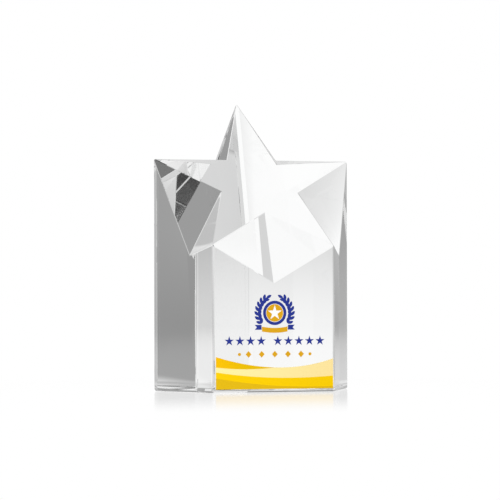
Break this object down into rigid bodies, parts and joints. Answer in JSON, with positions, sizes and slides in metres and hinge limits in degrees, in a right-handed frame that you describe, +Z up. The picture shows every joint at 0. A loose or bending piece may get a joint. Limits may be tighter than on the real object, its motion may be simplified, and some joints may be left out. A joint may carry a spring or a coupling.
{
  "type": "star trophy",
  "caption": "Clear crystal award block whose sloping top is cut to a flat star with V-notches below its inner corners, and whose front face carries a colour print.",
  "frame": {"origin": "middle of the base, on the surface that the block stands on", "axes": "+Z up, -Y out of the printed front face, +X to the viewer's right"},
  "size_m": [0.1058, 0.0662, 0.152],
  "materials": {
    "crystal": "polished clear optical crystal",
    "navy_ink": "cured print ink, semi-gloss",
    "gold_ink": "cured print ink, semi-gloss",
    "white_ink": "cured print ink, semi-gloss",
    "amber_ink": "cured print ink, semi-gloss",
    "pale_ink": "cured print ink, semi-gloss",
    "yellow_ink": "cured print ink, semi-gloss",
    "ochre_ink": "cured print ink, semi-gloss"
  },
  "bodies": {
    "root": {"crystal_block": "crystal", "wave_crest": "amber_ink", "wave_pale_band": "pale_ink", "wave_bright_band": "yellow_ink", "wave_shade": "ochre_ink", "emblem_ring": "navy_ink", "emblem_disc": "gold_ink", "emblem_star": "white_ink", "emblem_laurel_left": "navy_ink", "emblem_laurel_right": "navy_ink", "emblem_ribbon": "gold_ink", "emblem_tail_left": "navy_ink", "emblem_tail_right": "navy_ink", "row_star_1": "navy_ink", "row_star_2": "navy_ink", "row_star_3": "navy_ink", "row_star_4": "navy_ink", "row_star_5": "navy_ink", "row_star_6": "navy_ink", "row_star_7": "navy_ink", "row_star_8": "navy_ink", "row_star_9": "navy_ink", "diamond_1": "gold_ink", "diamond_2": "gold_ink", "diamond_3": "gold_ink", "diamond_4": "gold_ink", "diamond_5": "gold_ink", "dot_left": "gold_ink", "dot_right": "gold_ink"}
  },
  "joints": []
}
